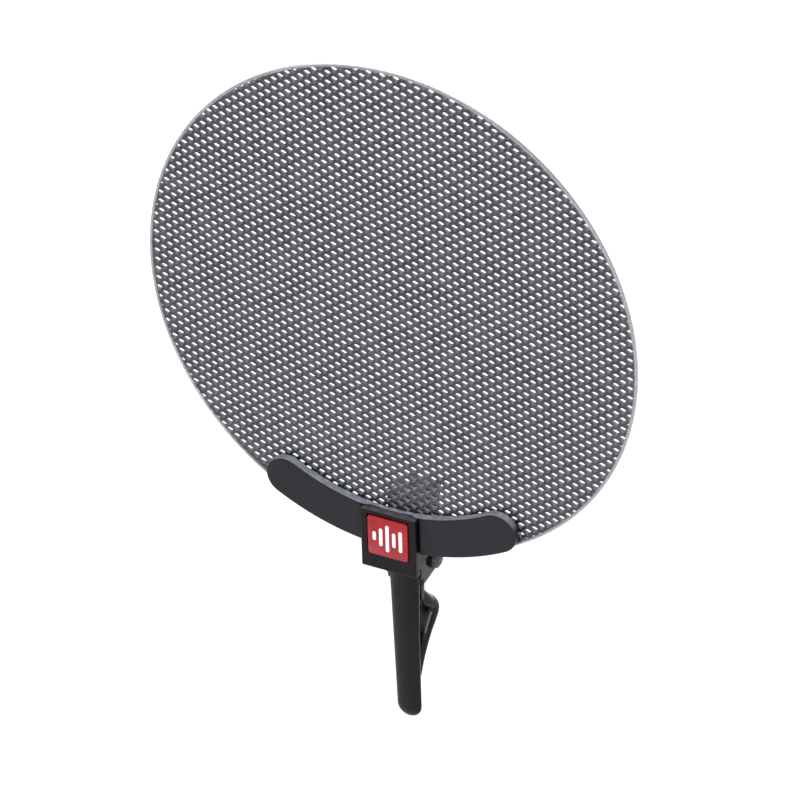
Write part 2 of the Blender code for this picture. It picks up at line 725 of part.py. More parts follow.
def build():
    root = new_empty("clip_seat", (0.0, 0.0, 0.0))
    hinge = new_empty("jaw_hinge", (0.0, 0.0, PIVOT_Z))
    make_screen(root)
    make_front_bar(root)
    make_rear_bar(root)
    make_bar_screws(root)
    make_badge_block(root)
    make_badge_plate(root)
    make_neck_fasteners(root)
    make_clip_front(root)
    make_pad("front_jaw_pad", PAD_FACE_Y, JAW_BACK_Y + GAP, 0.0, 0.0, FRONT_JAW_TOP, root)
    make_pin(root)
    make_pin_cap(root)
    make_spring(root)
    make_clip_rear(hinge)
    closed_z = PIVOT_Z + CLOSED_GROOVE_Z
    rear_back = REAR_JAW_Y - GAP
    make_pad("rear_jaw_pad", REAR_FACE_Y, rear_back, CLOSED_GROOVE_Y, closed_z, REAR_JAW_TOP, hinge)
    hinge.rotation_euler = (-REST_OPEN, 0.0, 0.0)
    bpy.context.view_layer.update()


build()
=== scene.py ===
"""Looks of a clip-on metal pop filter: its expanded metal screen, its moulded parts and its materials.

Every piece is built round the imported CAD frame, in metres, and takes its place from the CAD nodes.
"""
import json
import math

import bmesh
import bpy
from mathutils import Matrix, Vector


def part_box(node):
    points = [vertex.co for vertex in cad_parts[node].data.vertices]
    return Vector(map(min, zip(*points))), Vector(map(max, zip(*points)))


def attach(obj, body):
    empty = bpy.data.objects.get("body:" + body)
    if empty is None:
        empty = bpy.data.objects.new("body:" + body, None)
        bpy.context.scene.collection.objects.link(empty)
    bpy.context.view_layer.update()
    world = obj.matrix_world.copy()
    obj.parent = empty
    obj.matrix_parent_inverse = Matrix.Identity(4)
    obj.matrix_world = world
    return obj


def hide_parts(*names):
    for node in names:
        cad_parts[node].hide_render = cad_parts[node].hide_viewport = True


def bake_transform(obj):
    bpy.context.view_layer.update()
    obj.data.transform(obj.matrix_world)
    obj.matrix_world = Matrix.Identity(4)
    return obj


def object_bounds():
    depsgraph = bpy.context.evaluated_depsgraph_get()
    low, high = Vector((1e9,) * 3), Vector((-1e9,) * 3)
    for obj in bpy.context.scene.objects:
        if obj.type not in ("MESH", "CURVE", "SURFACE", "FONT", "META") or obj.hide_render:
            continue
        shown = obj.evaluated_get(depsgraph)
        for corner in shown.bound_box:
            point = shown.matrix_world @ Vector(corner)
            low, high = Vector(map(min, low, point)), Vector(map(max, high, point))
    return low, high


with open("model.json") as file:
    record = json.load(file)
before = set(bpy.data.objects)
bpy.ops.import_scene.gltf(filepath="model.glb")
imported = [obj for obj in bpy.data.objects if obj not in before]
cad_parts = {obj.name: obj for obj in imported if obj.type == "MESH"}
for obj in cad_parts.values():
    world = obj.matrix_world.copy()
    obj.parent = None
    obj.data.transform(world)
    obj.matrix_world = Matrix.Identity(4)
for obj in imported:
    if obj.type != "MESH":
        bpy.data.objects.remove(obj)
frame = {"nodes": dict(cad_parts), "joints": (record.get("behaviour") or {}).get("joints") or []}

CAD_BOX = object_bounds()
NODES = frame["nodes"]
HINGE = Vector(frame["joints"][0]["pos_m"])

FRONT_BODY = "clip_frame"
REAR_BODY = "rear_jaw"


def box_middle(node):
    low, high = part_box(node)
    return (low + high) / 2


def half_width(node, axis="x"):
    """Half of what the node's box measures along an axis: the radius, where the node is round."""
    low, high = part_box(node)
    return (getattr(high, axis) - getattr(low, axis)) / 2


# The CAD leaves a gap between touching pieces, and the looks close it
SEAM = 0.0003
EDGE_DEPTH = 0.00045                 # how deep a flat side's rounded edges reach, which move with it
JAW_LEAN = math.radians(14.11)       # how far the rear jaw leans back at rest
BLOCK_PLATE_T = 0.0018               # the badge block's front plate, which the front bar lies behind
MERGE_DIST = 0.000001

# Expanded metal: the pitch of its diamonds along X and Z, and how its strands stand
SCREEN_CENTRE = box_middle("mesh_screen")
SCREEN_R = half_width("mesh_screen")
MESH_LONG = 0.0036
MESH_SHORT = 0.00255
OPEN_SHARE = 0.56                    # of its diamond, what a hole's width and height are before rounding
SHEET_T = 0.00042
STRAND_TILT = 0.00020                # how far a hole's top stands in front of its middle
STRAND_CROWN = 0.00012               # how far the strands' ridges stand proud of the holes' edges
SCREEN_SHARP_ANGLE = 18.0
SCREW_HOLE_R = 0.0011
CUT_PAST = 0.002                     # how far a cutter reaches past the sheet

# Points round a diamond, in quarter pitches from its centre: its corners and the middles of its sides.
# The rounding scales a hole's points by how far aside they lie, so that its corners come out blunt.
CELL_RING = ((2, 0), (1, 1), (0, 2), (-1, 1), (-2, 0), (-1, -1), (0, -2), (1, -1))
HOLE_ROUNDING = {2: 0.93, 1: 1.03, 0: 0.88}

# The hem: a ring whose section is a square with round corners, a little proud of the strands
HEM_W = 0.0008
HEM_PROUD = 0.00008
HEM_SQUARENESS = 0.7
HEM_STEPS = 360
HEM_SIDES = 12

# Moulded pieces: voxel of the remesh and rounds of smoothing, which set how round the edges come out
BAR_MOULD = (0.0002, 3)
BLOCK_MOULD = (0.00014, 2)
CLIP_MOULD = (0.00016, 6)
PAD_MOULD = (0.00014, 3)

# Badge: a plate with rounded edges, and on it a row of level bars with these relative heights
BADGE_CORNER_R = 0.0007
BADGE_EDGE = 0.00018
BADGE_SHARP_ANGLE = 50.0
LEVEL_BARS = (0.22, 0.44, 0.66, 0.36, 0.52)
TALLEST_BAR_SHARE = 0.7              # of the badge's height
LEVEL_BAR_W = 0.00092
LEVEL_PITCH = 0.00178
EMBLEM_RISE = 0.00012
EMBLEM_ROOT = 0.0001                 # how deep the level bars are set into the plate
EMBLEM_EDGE = 0.00005

# Screws: a pan head, and a shank with ring grooves for a thread
SCREW_HEAD_H = 0.0010
SHANK_R = 0.0008
THREAD_PITCH = 0.0004
THREAD_ROOT = 0.78                   # of the shank's radius
THREAD_START = 0.0001                # below the head
THREAD_FREE = 0.0006                 # length of the shank without a thread
SCREW_TIP = 0.0003
SCREW_ROUNDING = 0.00012
SCREW_STEPS = 40
SCREW_SHARP_ANGLE = 35.0

# A screw's crossed recess: its arms, as shares of the head's radius, and its floor, of the head's height
RECESS_ARM = 0.56
RECESS_HALF_W = 0.13
RECESS_FLOOR = 0.35

# Hinge: the pin with its domed head, the push-on cap and the spring
PIN_R = 0.00125
PIN_HEAD_H = 0.0010
PIN_CHAMFER = 0.0003
PIN_ROUNDING = 0.0002
CAP_BORE_R = 0.00155
CAP_BORE_DEPTH = 0.0011
CAP_ROUNDING = 0.00012
HINGE_STEPS = 64
SPRING_WIRE_R = 0.0004
SPRING_TURNS = 3
SPRING_STEPS = 36                    # points in each turn
FRONT_LEG_Y = -0.0041                # where the tips of the spring's legs lie at rest
REAR_LEG_Y = -0.0021

# Camera: where the photographer stood, seen from the tube that the jaws grip, with a long lens
CAMERA_PLACE = Vector((0.5423, -0.9887, 0.7344))
CAMERA_AIM = Vector((0.0, -0.006, 0.0315))
CAMERA_ROLL = math.radians(1.64)
CAMERA_LENS_MM = 250.0
SENSOR_MM = 36.0

# Studio: the floor's place under the clip, and each softbox with its place, size, power and tint
FLOOR_DROP = 0.045
FLOOR_HALF = 6.0
LIGHT_AIM = Vector((0.0, 0.0, 0.03))
SOFTBOXES = (
    ("overhead", (-0.30, 0.00, 1.2), (0.9, 0.9), 6.4, (1.0, 1.0, 1.0)),
    ("left", (-1.1, -0.6, 0.7), (0.5, 0.8), 4.2, (0.97, 0.98, 1.0)),
    ("right", (1.3, -0.1, 0.5), (0.35, 0.9), 6.5, (1.0, 1.0, 1.0)),
    ("front", (0.80, -1.05, 0.16), (0.35, 0.45), 6.0, (1.0, 0.98, 0.96)),
    ("behind", (-0.60, 1.35, 0.95), (1.5, 0.7), 16.0, (0.93, 0.96, 1.0)),
)
SKY_COLOUR = (0.95, 0.97, 1.0, 1.0)
SKY_STRENGTH = 0.74


# ---------------------------------------------------------------- material helpers
# A noise's scale is in cells per metre, and a bump's depth is in metres.

def new_material(name):
    material = bpy.data.materials.new(name)
    material.use_nodes = True
    return material, material.node_tree, material.node_tree.nodes["Principled BSDF"]


def surface_point(tree, stretch=(1.0, 1.0, 1.0)):
    """The point on the piece, in metres, from its own object coordinates."""
    coord = tree.nodes.new("ShaderNodeTexCoord")
    mapping = tree.nodes.new("ShaderNodeMapping")
    mapping.inputs["Scale"].default_value = stretch
    tree.links.new(coord.outputs["Object"], mapping.inputs["Vector"])
    return mapping.outputs["Vector"]


def noise(tree, point, scale, detail=4.0, roughness=0.55):
    node = tree.nodes.new("ShaderNodeTexNoise")
    node.inputs["Scale"].default_value = scale
    node.inputs["Detail"].default_value = detail
    node.inputs["Roughness"].default_value = roughness
    tree.links.new(point, node.inputs["Vector"])
    return node.outputs["Fac"]


def to_range(tree, value, low, high, source=(0.3, 0.7)):
    """The value, which runs over the source range, as one that runs from low to high."""
    node = tree.nodes.new("ShaderNodeMapRange")
    node.inputs["From Min"].default_value = source[0]
    node.inputs["From Max"].default_value = source[1]
    node.inputs["To Min"].default_value = low
    node.inputs["To Max"].default_value = high
    tree.links.new(value, node.inputs["Value"])
    return node.outputs["Result"]


def two_tone(tree, value, dark, light, source=(0.35, 0.65)):
    """The dark colour where the value is low, the light one where it is high."""
    ramp = tree.nodes.new("ShaderNodeValToRGB")
    ramp.color_ramp.elements[0].position = source[0]
    ramp.color_ramp.elements[0].color = (*dark, 1.0)
    ramp.color_ramp.elements[1].position = source[1]
    ramp.color_ramp.elements[1].color = (*light, 1.0)
    tree.links.new(value, ramp.inputs["Fac"])
    return ramp.outputs["Color"]


def bump(tree, heights, depth):
    """A normal from one or more heights, each given with its strength."""
    normal = None
    for height, strength in heights:
        node = tree.nodes.new("ShaderNodeBump")
        node.inputs["Strength"].default_value = strength
        node.inputs["Distance"].default_value = depth
        tree.links.new(height, node.inputs["Height"])
        if normal is not None:
            tree.links.new(normal, node.inputs["Normal"])
        normal = node.outputs["Normal"]
    return normal


def patchy_film(tree, colour, tone, where):
    """The colour with another tone over it where the share given says, thinner in places."""
    film = noise(tree, surface_point(tree), scale=900.0, detail=5.0, roughness=0.7)
    share = tree.nodes.new("ShaderNodeMath")
    share.operation = "MULTIPLY"
    tree.links.new(where, share.inputs[0])
    tree.links.new(to_range(tree, film, 0.55, 1.0), share.inputs[1])
    mix = tree.nodes.new("ShaderNodeMix")
    mix.data_type = "RGBA"
    mix.inputs["B"].default_value = (*tone, 1.0)
    tree.links.new(share.outputs["Value"], mix.inputs["Factor"])
    tree.links.new(colour, mix.inputs["A"])
    return mix.outputs["Result"]


def dust_and_top_highlight(tree, colour, dust_and_highlight_tone, tilt=(0.35, 0.85)):
    """The colour with a paler film on the faces that look up, from one tilt to the other: partly dust,
    partly a painted highlight from the light above.
    """
    upward = tree.nodes.new("ShaderNodeSeparateXYZ")
    coord = tree.nodes.new("ShaderNodeTexCoord")
    tree.links.new(coord.outputs["Normal"], upward.inputs["Vector"])
    return patchy_film(tree, colour, dust_and_highlight_tone, to_range(tree, upward.outputs["Z"], 0.0, 1.0, tilt))


def rubbed_rim(tree, colour, bare_tone):
    """The colour with a paler band round the screen's rim, where handling has thinned the lacquer."""
    coord = tree.nodes.new("ShaderNodeTexCoord")
    from_centre = tree.nodes.new("ShaderNodeMapping")
    from_centre.inputs["Location"].default_value = (-SCREEN_CENTRE.x, 0.0, -SCREEN_CENTRE.z)
    from_centre.inputs["Scale"].default_value = (1.0, 0.0, 1.0)
    tree.links.new(coord.outputs["Object"], from_centre.inputs["Vector"])
    distance = tree.nodes.new("ShaderNodeVectorMath")
    distance.operation = "LENGTH"
    tree.links.new(from_centre.outputs["Vector"], distance.inputs[0])
    edge = (SCREEN_R - 1.1 * HEM_W, SCREEN_R - 0.7 * HEM_W)
    return patchy_film(tree, colour, bare_tone, to_range(tree, distance.outputs["Value"], 0.0, 1.0, edge))


# ---------------------------------------------------------------- materials

def coated_steel():
    """Dark charcoal lacquer on the expanded sheet, paler at its rim where it is worn, with a painted
    highlight where its strands look up.
    """
    material, tree, shader = new_material("coated_expanded_steel")
    point = surface_point(tree)
    patches = noise(tree, point, scale=260.0)
    specks = noise(tree, point, scale=3200.0, detail=2.0)
    colour = two_tone(tree, patches, (0.052, 0.052, 0.059), (0.088, 0.088, 0.098))
    # painted highlight: the faces that look up are made paler, standing in for glints of the overhead light
    pale = dust_and_top_highlight(tree, colour, (0.31, 0.312, 0.328), tilt=(0.15, 0.55))
    worn = rubbed_rim(tree, pale, (0.42, 0.42, 0.43))
    tree.links.new(worn, shader.inputs["Base Color"])
    tree.links.new(to_range(tree, specks, 0.24, 0.40), shader.inputs["Roughness"])
    tree.links.new(bump(tree, [(specks, 0.35), (patches, 0.2)], depth=0.00003), shader.inputs["Normal"])
    shader.inputs["Metallic"].default_value = 0.85
    return material


def moulded_plastic(name, dark, light, roughness, grain, relief, gloss, dust_and_highlight_tone):
    """Moulded plastic: a spark-eroded grain, faint flow marks, wear in its gloss, and a paler film on top
    that is partly dust and partly a painted highlight.
    """
    material, tree, shader = new_material(name)
    point = surface_point(tree)
    flow = noise(tree, surface_point(tree, (1.0, 1.0, 0.35)), scale=120.0, detail=3.0)
    fine = noise(tree, point, grain, detail=3.0, roughness=0.6)
    rub = noise(tree, point, scale=420.0, detail=5.0, roughness=0.65)
    # the faces that look up are made paler: partly dust, partly a painted highlight from the light above
    colour = dust_and_top_highlight(tree, two_tone(tree, flow, dark, light), dust_and_highlight_tone)
    tree.links.new(colour, shader.inputs["Base Color"])
    tree.links.new(to_range(tree, rub, *roughness), shader.inputs["Roughness"])
    normal = bump(tree, [(fine, relief), (rub, relief * 0.35)], depth=0.00004)
    tree.links.new(normal, shader.inputs["Normal"])
    shader.inputs["Specular IOR Level"].default_value = gloss
    return material


def rubber():
    """Black rubber with a dusty bloom and a fine pebbled skin."""
    material, tree, shader = new_material("black_rubber")
    point = surface_point(tree)
    dust = noise(tree, point, scale=600.0, detail=6.0, roughness=0.7)
    pebbles = noise(tree, point, scale=5200.0, detail=2.0)
    colour = two_tone(tree, dust, (0.010, 0.010, 0.010), (0.026, 0.025, 0.024))
    tree.links.new(colour, shader.inputs["Base Color"])
    tree.links.new(to_range(tree, dust, 0.72, 0.92), shader.inputs["Roughness"])
    tree.links.new(bump(tree, [(pebbles, 0.5)], depth=0.00003), shader.inputs["Normal"])
    return material


def machined_metal(name, dark, light, roughness, along, metallic=1.0):
    """Turned or drawn metal: fine lines across the axis given, with tarnish in soft patches."""
    material, tree, shader = new_material(name)
    stretch = [60.0, 60.0, 60.0]
    stretch["XYZ".index(along)] = 1400.0
    lines = noise(tree, surface_point(tree, stretch), scale=4.0, detail=3.0)
    tarnish = noise(tree, surface_point(tree), scale=700.0)
    tree.links.new(two_tone(tree, tarnish, dark, light), shader.inputs["Base Color"])
    tree.links.new(to_range(tree, lines, *roughness), shader.inputs["Roughness"])
    tree.links.new(bump(tree, [(lines, 0.3)], depth=0.00002), shader.inputs["Normal"])
    shader.inputs["Metallic"].default_value = metallic
    return material


def enamel(name, dark, light, roughness):
    """Glossy enamel with a slight orange peel, deeper in tone where it pooled."""
    material, tree, shader = new_material(name)
    point = surface_point(tree)
    pool = noise(tree, point, scale=300.0, detail=3.0)
    peel = noise(tree, point, scale=1500.0, detail=2.0)
    tree.links.new(two_tone(tree, pool, dark, light), shader.inputs["Base Color"])
    tree.links.new(to_range(tree, peel, *roughness), shader.inputs["Roughness"])
    tree.links.new(bump(tree, [(peel, 0.15)], depth=0.00003), shader.inputs["Normal"])
    shader.inputs["Specular IOR Level"].default_value = 0.35
    shader.inputs["Coat Weight"].default_value = 0.15
    shader.inputs["Coat Roughness"].default_value = 0.12
    return material


# ---------------------------------------------------------------- mesh helpers

def loose_object(name, data):
    """An object for a mesh, a curve, a light or a camera."""
    obj = bpy.data.objects.new(name, data)
    bpy.context.scene.collection.objects.link(obj)
    return obj


def new_piece(name, mesh, body, slot, *materials):
    piece = loose_object(name, mesh)
    for material in materials:
        mesh.materials.append(material)
    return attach(piece, body)


def apply_modifiers(obj):
    bpy.context.view_layer.update()
    evaluated = obj.evaluated_get(bpy.context.evaluated_depsgraph_get())
    mesh = bpy.data.meshes.new_from_object(evaluated)
    obj.modifiers.clear()
    obj.data = mesh


def boolean(obj, other, operation, solver="EXACT"):
    """Cuts or joins with another object, which is then removed."""
    modifier = obj.modifiers.new("boolean", "BOOLEAN")
    modifier.operation = operation
    modifier.solver = solver
    modifier.object = other
    apply_modifiers(obj)
    bpy.data.objects.remove(other, do_unlink=True)


def shade(mesh, sharp_angle):
    """Smooth shading, with the edges over the angle, in degrees, kept sharp."""
    mesh.shade_smooth()
    mesh.set_sharp_from_angle(angle=math.radians(sharp_angle))


def mesh_from(shape, name, sharp_angle=40.0):
    """The bmesh as a shaded mesh with its faces pointing out."""
    mesh = bpy.data.meshes.new(name)
    bmesh.ops.recalc_face_normals(shape, faces=shape.faces)
    shape.to_mesh(mesh)
    shape.free()
    shade(mesh, sharp_angle)
    return mesh


def take_mesh(obj):
    """The object's mesh without materials, once the object itself is removed."""
    mesh = obj.data
    mesh.materials.clear()
    bpy.data.objects.remove(obj, do_unlink=True)
    return mesh


def turned(name, profile, steps):
    """A closed solid of revolution about Z, from radius and height pairs that start and end on the axis."""
    shape = bmesh.new()
    rings = []
    for radius, height in profile:
        if radius == 0.0:
            rings.append([shape.verts.new((0.0, 0.0, height))])
            continue
        ring = []
        for i in range(steps):
            turn = 2 * math.pi * i / steps
            ring.append(shape.verts.new((radius * math.cos(turn), radius * math.sin(turn), height)))
        rings.append(ring)
    for upper, lower in zip(rings, rings[1:]):
        for i in range(steps):
            j = (i + 1) % steps
            corners = [upper[i % len(upper)], upper[j % len(upper)],
                       lower[j % len(lower)], lower[i % len(lower)]]
            shape.faces.new(dict.fromkeys(corners))
    return mesh_from(shape, name)


def rounded_profile(profile, radius, steps=4):
    """The same profile with each inner corner turned into a curve of up to the radius given."""
    made = [profile[0]]
    for before, corner, after in zip(profile, profile[1:], profile[2:]):
        p, c, n = Vector(before), Vector(corner), Vector(after)
        reach = min(radius, (p - c).length * 0.45, (n - c).length * 0.45)
        start = c + (p - c).normalized() * reach
        end = c + (n - c).normalized() * reach
        for i in range(steps + 1):
            t = i / steps
            made.append(tuple(start.lerp(c, t).lerp(c.lerp(end, t), t)))
    made.append(profile[-1])
    return made


# ---------------------------------------------------------------- expanded metal screen

def expanded_cells(reach):
    """Column and row of each diamond whose centre lies within reach of the screen's centre."""
    columns = int(reach / (MESH_LONG / 2)) + 1
    rows = int(reach / (MESH_SHORT / 2)) + 1
    for row in range(-rows, rows + 1):
        for column in range(-columns, columns + 1):
            inside = math.hypot(column * MESH_LONG / 2, row * MESH_SHORT / 2) < reach
            if (row + column) % 2 == 0 and inside:
                yield column, row


def from_screen_centre(x, y, z):
    return SCREEN_CENTRE.x + x, SCREEN_CENTRE.y + y, SCREEN_CENTRE.z + z


def expanded_sheet(reach):
    """Diamond cells that share their strands: a strand's faces lean, like the slats of a blind."""
    shape = bmesh.new()
    shared = {}

    def vert(x, y, z):
        return shape.verts.new(from_screen_centre(x, y, z))

    def strand_point(key):
        if key not in shared:
            x, z = key[0] * MESH_LONG / 4, key[1] * MESH_SHORT / 4
            half = SHEET_T / 2 + STRAND_CROWN
            shared[key] = (vert(x, -half, z), vert(x, half, z))
        return shared[key]

    for column, row in expanded_cells(reach):
        outer, inner = [], []
        for dx, dz in CELL_RING:
            outer.append(strand_point((2 * column + dx, 2 * row + dz)))
            size = OPEN_SHARE * HOLE_ROUNDING[abs(dx)]
            x = (2 * column + dx * size) * MESH_LONG / 4
            z = (2 * row + dz * size) * MESH_SHORT / 4
            lean = -STRAND_TILT * dz / 2
            inner.append((vert(x, lean - SHEET_T / 2, z), vert(x, lean + SHEET_T / 2, z)))
        for i in range(len(CELL_RING)):
            j = (i + 1) % len(CELL_RING)
            shape.faces.new((outer[i][0], outer[j][0], inner[j][0], inner[i][0]))
            shape.faces.new((outer[j][1], outer[i][1], inner[i][1], inner[j][1]))
            shape.faces.new((inner[i][0], inner[j][0], inner[j][1], inner[i][1]))
    close_outline(shape)
    return mesh_from(shape, "expanded_sheet")


def close_outline(shape):
    """Walls off the sheet's ragged outline, from its front to its back."""
    def place(vert):
        return round(vert.co.x, 7), round(vert.co.z, 7)

    def in_front(vert):
        return vert.co.y < SCREEN_CENTRE.y

    rims = [edge for edge in shape.edges if len(edge.link_faces) == 1]
    behind = {place(vert): vert for edge in rims for vert in edge.verts if not in_front(vert)}
    for edge in rims:
        a, b = edge.verts
        if in_front(a):
            shape.faces.new((a, b, behind[place(b)], behind[place(a)]))


def hem_ring():
    """The pressed edge: a thin ring of rounded section round the cut sheet."""
    half_t = SHEET_T / 2 + STRAND_CROWN + HEM_PROUD
    shape = bmesh.new()
    rings = []
    for i in range(HEM_STEPS):
        turn = 2 * math.pi * i / HEM_STEPS
        ring = []
        for k in range(HEM_SIDES):
            a = 2 * math.pi * k / HEM_SIDES
            across = math.copysign(abs(math.cos(a)) ** HEM_SQUARENESS, math.cos(a)) * HEM_W / 2
            through = math.copysign(abs(math.sin(a)) ** HEM_SQUARENESS, math.sin(a)) * half_t
            r = SCREEN_R - HEM_W / 2 + across
            ring.append(shape.verts.new(from_screen_centre(r * math.cos(turn), through, r * math.sin(turn))))
        rings.append(ring)
    for i in range(HEM_STEPS):
        for k in range(HEM_SIDES):
            j, m = (i + 1) % HEM_STEPS, (k + 1) % HEM_SIDES
            shape.faces.new((rings[i][k], rings[j][k], rings[j][m], rings[i][m]))
    return mesh_from(shape, "hem")


def sheet_cutter(name, radius, middle, steps=24):
    """A cylinder along Y, round the middle given, that runs right through the screen."""
    low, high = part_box("mesh_screen")
    near, far = low.y - CUT_PAST, high.y + CUT_PAST
    mesh = turned(name, [(0.0, far), (radius, far), (radius, near), (0.0, near)], steps)
    mesh.transform(Matrix.Translation((middle.x, 0.0, middle.z)) @ Matrix.Rotation(-math.pi / 2, 4, "X"))
    return loose_object(name, mesh)


def make_screen(material):
    """The sheet of diamonds, cut round, joined to its hem and drilled for the bars' screws."""
    sheet = loose_object("sheet", expanded_sheet(SCREEN_R + 2 * MESH_LONG))
    boolean(sheet, sheet_cutter("disc", SCREEN_R - HEM_W / 2, SCREEN_CENTRE, 240), "INTERSECT", "MANIFOLD")
    boolean(sheet, loose_object("hem", hem_ring()), "UNION", "MANIFOLD")
    for number in range(1, 5):
        hole = sheet_cutter("hole", SCREW_HOLE_R, box_middle(f"bar_screw_{number}"))
        boolean(sheet, hole, "DIFFERENCE", "MANIFOLD")
    mesh = take_mesh(sheet)
    shade(mesh, SCREEN_SHARP_ANGLE)
    screen = new_piece("expanded_metal_screen", mesh, FRONT_BODY, "screen_metal", material)
    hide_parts("mesh_screen")


# ---------------------------------------------------------------- moulded pieces

def close_seam(shape, way, level=None):
    """Moves the flat side that faces the way given, or the one at a level along it, by the seam."""
    way = Vector(way).normalized()
    heights = {vert: vert.co.dot(way) for vert in shape.verts}
    if level is None:
        level = max(heights.values())
    for vert, height in heights.items():
        if abs(height - level) < EDGE_DEPTH:
            vert.co += way * SEAM


def moulded(node, name, body, slot, material, mould, seams=()):
    """The node's own shape with the small fillets that a mould gives it, and its seams closed."""
    voxel, rounds = mould
    shape = bmesh.new()
    shape.from_mesh(NODES[node].data)
    bmesh.ops.remove_doubles(shape, verts=shape.verts, dist=MERGE_DIST)
    for seam in seams:
        close_seam(shape, *seam)
    mesh = bpy.data.meshes.new(name)
    shape.to_mesh(mesh)
    shape.free()
    raw = loose_object(name, mesh)
    remesh = raw.modifiers.new("remesh", "REMESH")
    remesh.mode = "VOXEL"
    remesh.voxel_size = voxel
    soften = raw.modifiers.new("soften", "SMOOTH")
    soften.factor = 0.5
    soften.iterations = rounds
    apply_modifiers(raw)
    mesh = take_mesh(raw)
    mesh.shade_smooth()
    piece = new_piece(name, mesh, body, slot, material)
    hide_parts(node)


def make_moulded_pieces():
    # each dust tone below is partly dust and partly a painted highlight on the faces that look up
    bar_plastic = moulded_plastic(
        "bar_plastic_grained", dark=(0.0060, 0.0055, 0.0082), light=(0.0092, 0.0084, 0.0125),
        roughness=(0.38, 0.52), grain=4200.0, relief=0.55, gloss=0.24, dust_and_highlight_tone=(0.26, 0.275, 0.32))
    block_plastic = moulded_plastic(
        "block_plastic_satin", dark=(0.0040, 0.0020, 0.0026), light=(0.0064, 0.0034, 0.0042),
        roughness=(0.34, 0.46), grain=4200.0, relief=0.35, gloss=0.16, dust_and_highlight_tone=(0.070, 0.064, 0.072))
    clip_plastic = moulded_plastic(
        "clip_plastic_gloss", dark=(0.0026, 0.0017, 0.0016), light=(0.0048, 0.0030, 0.0027),
        roughness=(0.14, 0.25), grain=2600.0, relief=0.12, gloss=0.18, dust_and_highlight_tone=(0.15, 0.135, 0.125))
    pad_rubber = rubber()

    back = (0.0, 1.0, 0.0)
    forward = (0.0, -1.0, 0.0)
    up = (0.0, 0.0, 1.0)
    at_rear_jaw = (0.0, math.cos(JAW_LEAN), -math.sin(JAW_LEAN))
    plate_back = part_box("badge_block")[0].y + BLOCK_PLATE_T
    boss_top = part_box("front_clamp_bar")[0].z - SEAM
    block_seams = [(back,), (back, plate_back), (up, boss_top)]
    moulded("front_clamp_bar", "front_bar", FRONT_BODY, "bar_plastic", bar_plastic, BAR_MOULD, [(back,)])
    moulded("rear_clamp_bar", "rear_bar", FRONT_BODY, "bar_plastic", bar_plastic, BAR_MOULD, [(forward,)])
    moulded("badge_block", "block", FRONT_BODY, "block_plastic", block_plastic, BLOCK_MOULD, block_seams)
    moulded("clip_front_half", "front_lever_and_jaw", FRONT_BODY, "clip_plastic", clip_plastic, CLIP_MOULD)
    moulded("clip_rear_half", "rear_lever_and_jaw", REAR_BODY, "clip_plastic", clip_plastic, CLIP_MOULD)
    moulded("front_jaw_pad", "front_pad", FRONT_BODY, "pad_rubber", pad_rubber, PAD_MOULD, [(forward,)])
    moulded("rear_jaw_pad", "rear_pad", REAR_BODY, "pad_rubber", pad_rubber, PAD_MOULD, [(at_rear_jaw,)])


# ---------------------------------------------------------------- badge

def stadium(width, height, steps=10):
    """Outline of an upright bar with round ends, as X, Z pairs about its centre."""
    r = width / 2
    straight = height / 2 - r
    points = []
    for start, rise in ((0.0, straight), (math.pi, -straight)):
        for i in range(steps + 1):
            turn = start + math.pi * i / steps
            points.append((r * math.cos(turn), r * math.sin(turn) + rise))
    return points


def rounded_square(half, radius, steps=6):
    """Outline of a square with round corners, as X, Z pairs about its centre."""
    points = []
    for quarter in range(4):
        corner = math.pi / 2 * quarter
        middle = corner + math.pi / 4
        cx = math.copysign(half - radius, math.cos(middle))
        cz = math.copysign(half - radius, math.sin(middle))
        for i in range(steps + 1):
            turn = corner + math.pi / 2 * i / steps
            points.append((cx + radius * math.cos(turn), cz + radius * math.sin(turn)))
    return points


def raised_shape(shape, outline, place, front, back, edge, material_index):
    """Adds a plate of the outline given, from back to front, with its front edge rounded over."""
    rings = []
    for depth, inset in ((back, 0.0), (front + edge, 0.0), (front + edge * 0.3, edge * 0.3), (front, edge)):
        ring = []
        for point in outline:
            shrunk = Vector(point) * (1 - inset / Vector(point).length)
            ring.append(shape.verts.new((place.x + shrunk.x, depth, place.z + shrunk.y)))
        rings.append(ring)
    faces = [shape.faces.new(rings[0][::-1]), shape.faces.new(rings[-1])]
    for lower, upper in zip(rings, rings[1:]):
        for i in range(len(outline)):
            j = (i + 1) % len(outline)
            faces.append(shape.faces.new((lower[i], lower[j], upper[j], upper[i])))
    for face in faces:
        face.material_index = material_index


def make_badge(plate_material, emblem_material):
    """The red plate with its row of level bars, which stand as far forward as the CAD plate does."""
    low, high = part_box("badge_plate")
    middle = box_middle("badge_plate")
    half = half_width("badge_plate")
    face = low.y + EMBLEM_RISE
    shape = bmesh.new()
    raised_shape(shape, rounded_square(half, BADGE_CORNER_R), middle, face, high.y, BADGE_EDGE, 0)
    tallest = max(LEVEL_BARS)
    for i, level in enumerate(LEVEL_BARS):
        place = middle + Vector(((i - (len(LEVEL_BARS) - 1) / 2) * LEVEL_PITCH, 0.0, 0.0))
        outline = stadium(LEVEL_BAR_W, level / tallest * half * 2 * TALLEST_BAR_SHARE)
        raised_shape(shape, outline, place, low.y, face + EMBLEM_ROOT, EMBLEM_EDGE, 1)
    mesh = mesh_from(shape, "badge", BADGE_SHARP_ANGLE)
    badge = new_piece("badge_with_emblem", mesh, FRONT_BODY, "badge_enamel", plate_material, emblem_material)
    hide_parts("badge_plate")


# ---------------------------------------------------------------- fasteners, pin and spring

